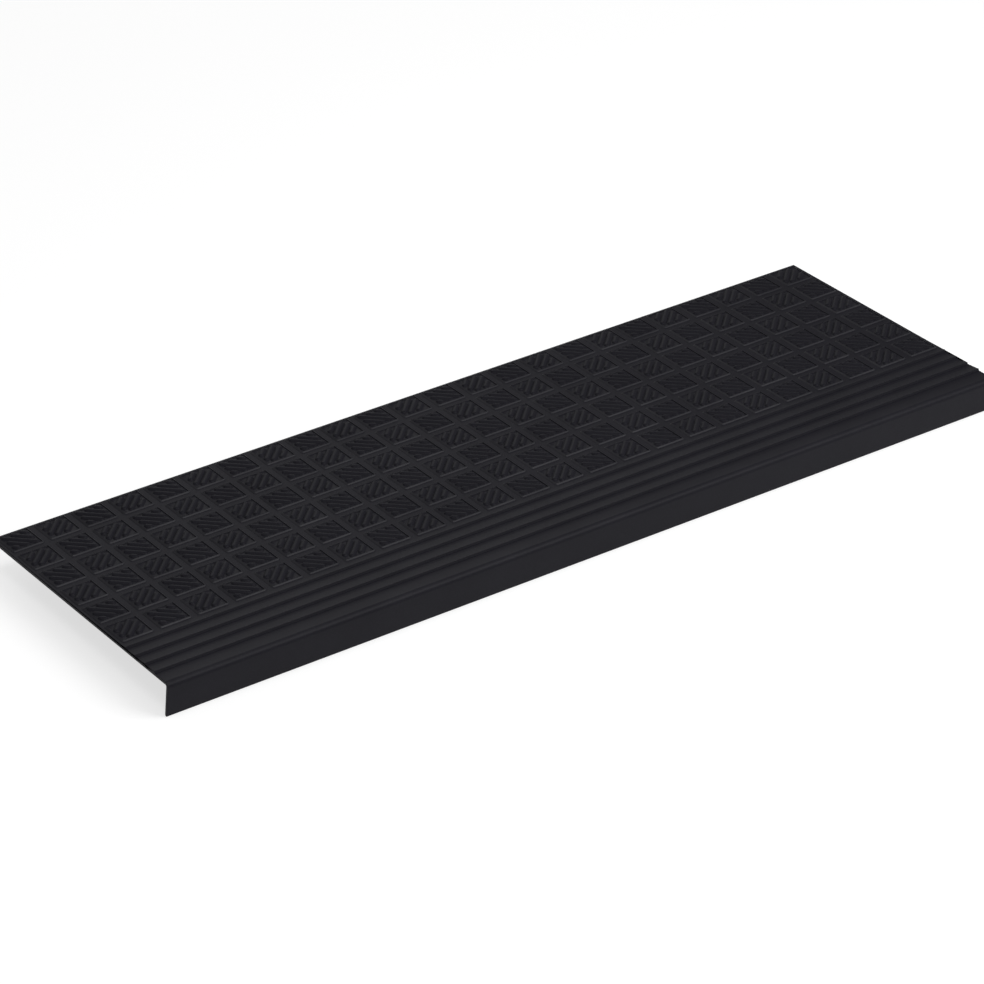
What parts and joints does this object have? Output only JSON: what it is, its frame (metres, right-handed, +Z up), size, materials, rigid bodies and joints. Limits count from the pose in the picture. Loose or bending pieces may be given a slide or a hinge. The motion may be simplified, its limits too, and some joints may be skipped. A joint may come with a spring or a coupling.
{
  "type": "stair tread mat",
  "caption": "Black rubber anti-slip mat for a stair tread, with square ribbed pads, a stepped nose and a lip that hangs over the front edge.",
  "frame": {"origin": "middle of the flat underside, which lies on the step", "axes": "+X along the step, to the right of someone who faces the stair; +Y from the nose to the back; +Z up"},
  "size_m": [0.75, 0.25, 0.032],
  "materials": {
    "rubber": "matt moulded"
  },
  "bodies": {
    "root": {"tread_mat": "rubber"}
  },
  "joints": []
}
